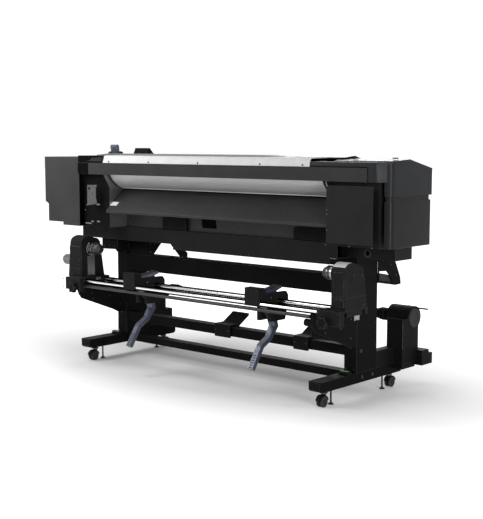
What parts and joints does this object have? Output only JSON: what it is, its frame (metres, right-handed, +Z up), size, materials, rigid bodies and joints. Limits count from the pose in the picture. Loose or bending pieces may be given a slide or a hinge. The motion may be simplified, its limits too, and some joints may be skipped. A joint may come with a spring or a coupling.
{
  "type": "wide format roll printer",
  "caption": "Wide roll-fed printer on a two-leg stand, with a rear roll feed on twin rails, foot levers, end housings, a print carriage under a lid and a front take-up.",
  "frame": {"origin": "on the floor under the middle of the machine's box", "axes": "+Z up, +X along the machine to the right end as seen from the feed side, -Y towards the feed (rear) side, +Y towards the delivery side"},
  "size_m": [2.62, 1.07, 1.35],
  "materials": {
    "black_paint": "satin powder coat",
    "grey_paint": "satin",
    "black_plastic": "fine texture",
    "rubber": "matte",
    "steel": "polished",
    "satin_steel": "satin",
    "aluminium": "satin",
    "galvanized": "dull",
    "blue_grey": "gloss"
  },
  "bodies": {
    "root": {"after_guide": "black_paint", "base_frame": "black_paint", "bottom_stay": "black_paint", "carriage_rail": "steel", "feed_arm_left": "black_paint", "feed_arm_right": "black_paint", "feed_plate": "black_paint", "foot_left": "black_paint", "foot_right": "black_paint", "front_rail": "steel", "inner_guide": "aluminium", "left_cover": "grey_paint", "left_side_frame": "galvanized", "leg_left": "black_paint", "leg_right": "black_paint", "platen_frame": "black_paint", "rear_beam": "grey_paint", "rear_rail": "steel", "right_cap": "grey_paint", "right_cover": "black_plastic", "right_side_frame": "black_paint", "take_up_beam": "black_paint", "take_up_drive": "black_plastic", "tie_tube": "satin_steel", "top_strip": "aluminium", "upper_crossbeam": "black_paint"},
    "carriage": {"carriage": "black_plastic"},
    "control_panel": {"control_panel": "black_plastic"},
    "core_rest_left": {"core_rest_left": "black_plastic"},
    "core_rest_right": {"core_rest_right": "black_plastic"},
    "drive_hub": {"drive_hub": "black_plastic"},
    "idler_hub": {"idler_hub": "black_plastic"},
    "left_clamp_knob": {"left_clamp_knob": "black_plastic"},
    "left_holder": {"left_holder": "black_plastic"},
    "left_core_knob": {"left_core_knob": "satin_steel"},
    "left_hub": {"left_hub": "steel"},
    "pinch_bar": {"pinch_bar": "black_plastic"},
    "right_clamp_knob": {"right_clamp_knob": "black_plastic"},
    "right_holder": {"right_holder": "black_plastic"},
    "right_hub": {"right_hub": "steel"},
    "roll_support_left": {"roll_support_left": "black_plastic"},
    "roll_support_right": {"roll_support_right": "black_plastic"},
    "take_up_idler": {"take_up_idler": "black_plastic"},
    "lift_lever_left": {"lift_lever_left": "blue_grey"},
    "lift_lever_right": {"lift_lever_right": "blue_grey"},
    "loading_lever": {"loading_lever": "blue_grey"},
    "front_cover": {"front_cover": "grey_paint"},
    "feed_roller": {"feed_roller": "steel"},
    "caster_fork_left_rear": {"caster_fork_left_rear": "black_plastic"},
    "caster_fork_left_front": {"caster_fork_left_front": "black_plastic"},
    "caster_fork_right_rear": {"caster_fork_right_rear": "black_plastic"},
    "caster_fork_right_front": {"caster_fork_right_front": "black_plastic"},
    "caster_wheels_left_rear": {"caster_wheels_left_rear": "rubber"},
    "caster_wheels_left_front": {"caster_wheels_left_front": "rubber"},
    "caster_wheels_right_rear": {"caster_wheels_right_rear": "rubber"},
    "caster_wheels_right_front": {"caster_wheels_right_front": "rubber"},
    "leveler_left_rear": {"leveler_left_rear": "steel"},
    "leveler_left_front": {"leveler_left_front": "steel"},
    "leveler_right_rear": {"leveler_right_rear": "steel"},
    "leveler_right_front": {"leveler_right_front": "steel"}
  },
  "joints": [
    {"name": "caster_swivel_left_rear", "type": "hinge", "parent": "root", "child": "caster_fork_left_rear", "pos_m": [-0.904, -0.298, 0.087], "axis": [0, 0, 1], "continuous": true},
    {"name": "caster_roll_left_rear", "type": "hinge", "parent": "caster_fork_left_rear", "child": "caster_wheels_left_rear", "pos_m": [-0.904, -0.312, 0.029], "axis": [1, 0, 0], "continuous": true},
    {"name": "leveler_screw_left_rear", "type": "slide", "parent": "root", "child": "leveler_left_rear", "axis": [0, 0, 1], "range_m": [-0.001, 0.02]},
    {"name": "caster_swivel_left_front", "type": "hinge", "parent": "root", "child": "caster_fork_left_front", "pos_m": [-0.904, 0.298, 0.087], "axis": [0, 0, 1], "continuous": true},
    {"name": "caster_roll_left_front", "type": "hinge", "parent": "caster_fork_left_front", "child": "caster_wheels_left_front", "pos_m": [-0.904, 0.312, 0.029], "axis": [1, 0, 0], "continuous": true},
    {"name": "leveler_screw_left_front", "type": "slide", "parent": "root", "child": "leveler_left_front", "axis": [0, 0, 1], "range_m": [-0.001, 0.02]},
    {"name": "caster_swivel_right_rear", "type": "hinge", "parent": "root", "child": "caster_fork_right_rear", "pos_m": [0.904, -0.298, 0.087], "axis": [0, 0, 1], "continuous": true},
    {"name": "caster_roll_right_rear", "type": "hinge", "parent": "caster_fork_right_rear", "child": "caster_wheels_right_rear", "pos_m": [0.904, -0.312, 0.029], "axis": [1, 0, 0], "continuous": true},
    {"name": "leveler_screw_right_rear", "type": "slide", "parent": "root", "child": "leveler_right_rear", "axis": [0, 0, 1], "range_m": [-0.001, 0.02]},
    {"name": "caster_swivel_right_front", "type": "hinge", "parent": "root", "child": "caster_fork_right_front", "pos_m": [0.904, 0.298, 0.087], "axis": [0, 0, 1], "continuous": true},
    {"name": "caster_roll_right_front", "type": "hinge", "parent": "caster_fork_right_front", "child": "caster_wheels_right_front", "pos_m": [0.904, 0.312, 0.029], "axis": [1, 0, 0], "continuous": true},
    {"name": "leveler_screw_right_front", "type": "slide", "parent": "root", "child": "leveler_right_front", "axis": [0, 0, 1], "range_m": [-0.001, 0.02]},
    {"name": "left_holder_slide", "type": "slide", "parent": "root", "child": "left_holder", "axis": [1, 0, 0], "range_m": [0, 0.3]},
    {"name": "left_hub_spin", "type": "hinge", "parent": "left_holder", "child": "left_hub", "pos_m": [-0.84, -0.376, 0.716], "axis": [1, 0, 0], "continuous": true},
    {"name": "left_core_knob_turn", "type": "hinge", "parent": "left_holder", "child": "left_core_knob", "pos_m": [-0.957, -0.376, 0.634], "axis": [1, 0, 0], "continuous": true},
    {"name": "left_clamp_knob_turn", "type": "hinge", "parent": "left_holder", "child": "left_clamp_knob", "pos_m": [-0.842, -0.5, 0.487], "axis": [0, 1, 0], "continuous": true},
    {"name": "right_holder_slide", "type": "slide", "parent": "root", "child": "right_holder", "axis": [1, 0, 0], "range_m": [-0.3, 0]},
    {"name": "right_hub_spin", "type": "hinge", "parent": "right_holder", "child": "right_hub", "pos_m": [1.06, -0.376, 0.716], "axis": [1, 0, 0], "continuous": true},
    {"name": "right_clamp_knob_turn", "type": "hinge", "parent": "right_holder", "child": "right_clamp_knob", "pos_m": [1.064, -0.5, 0.487], "axis": [0, 1, 0], "continuous": true},
    {"name": "left_support_slide", "type": "slide", "parent": "root", "child": "roll_support_left", "axis": [1, 0, 0], "range_m": [-0.1, 0.2]},
    {"name": "right_support_slide", "type": "slide", "parent": "root", "child": "roll_support_right", "axis": [1, 0, 0], "range_m": [-0.2, 0.1]},
    {"name": "left_lift_lever_turn", "type": "hinge", "parent": "roll_support_left", "child": "lift_lever_left", "pos_m": [-0.3935, -0.365, 0.548], "axis": [1, 0, 0], "range_deg": [0, 20]},
    {"name": "right_lift_lever_turn", "type": "hinge", "parent": "roll_support_right", "child": "lift_lever_right", "pos_m": [0.5565, -0.365, 0.548], "axis": [1, 0, 0], "range_deg": [0, 20]},
    {"name": "front_cover_hinge", "type": "hinge", "parent": "root", "child": "front_cover", "pos_m": [0, -0.203, 1.283], "axis": [1, 0, 0], "range_deg": [0, 60]},
    {"name": "control_panel_tilt", "type": "hinge", "parent": "root", "child": "control_panel", "pos_m": [-1.1343, 0.262, 1.2823], "axis": [1, 0, 0], "range_deg": [0, 45]},
    {"name": "loading_lever_turn", "type": "hinge", "parent": "root", "child": "loading_lever", "pos_m": [-1.188, 0.12, 1.2843], "axis": [1, 0, 0], "range_deg": [-60, 0]},
    {"name": "pinch_bar_lift", "type": "hinge", "parent": "root", "child": "pinch_bar", "pos_m": [0, -0.135, 1.15], "axis": [1, 0, 0], "range_deg": [-12, 0]},
    {"name": "carriage_travel", "type": "slide", "parent": "root", "child": "carriage", "axis": [1, 0, 0], "range_m": [-1.69, 0]},
    {"name": "feed_roller_spin", "type": "hinge", "parent": "root", "child": "feed_roller", "pos_m": [0, -0.165, 1.085], "axis": [1, 0, 0], "continuous": true},
    {"name": "drive_hub_spin", "type": "hinge", "parent": "root", "child": "drive_hub", "pos_m": [0.856, 0.406, 0.392], "axis": [1, 0, 0], "continuous": true},
    {"name": "idler_slide", "type": "slide", "parent": "root", "child": "take_up_idler", "axis": [1, 0, 0], "range_m": [-0.05, 0]},
    {"name": "idler_hub_spin", "type": "hinge", "parent": "take_up_idler", "child": "idler_hub", "pos_m": [-0.876, 0.406, 0.392], "axis": [1, 0, 0], "continuous": true},
    {"name": "left_core_rest_slide", "type": "slide", "parent": "root", "child": "core_rest_left", "axis": [1, 0, 0], "range_m": [-0.3, 0.3]},
    {"name": "right_core_rest_slide", "type": "slide", "parent": "root", "child": "core_rest_right", "axis": [1, 0, 0], "range_m": [-0.2, 0.15]}
  ],
  "couplings": [
    {"joint": "pinch_bar_lift", "follows": "loading_lever_turn", "ratio": 0.2}
  ]
}
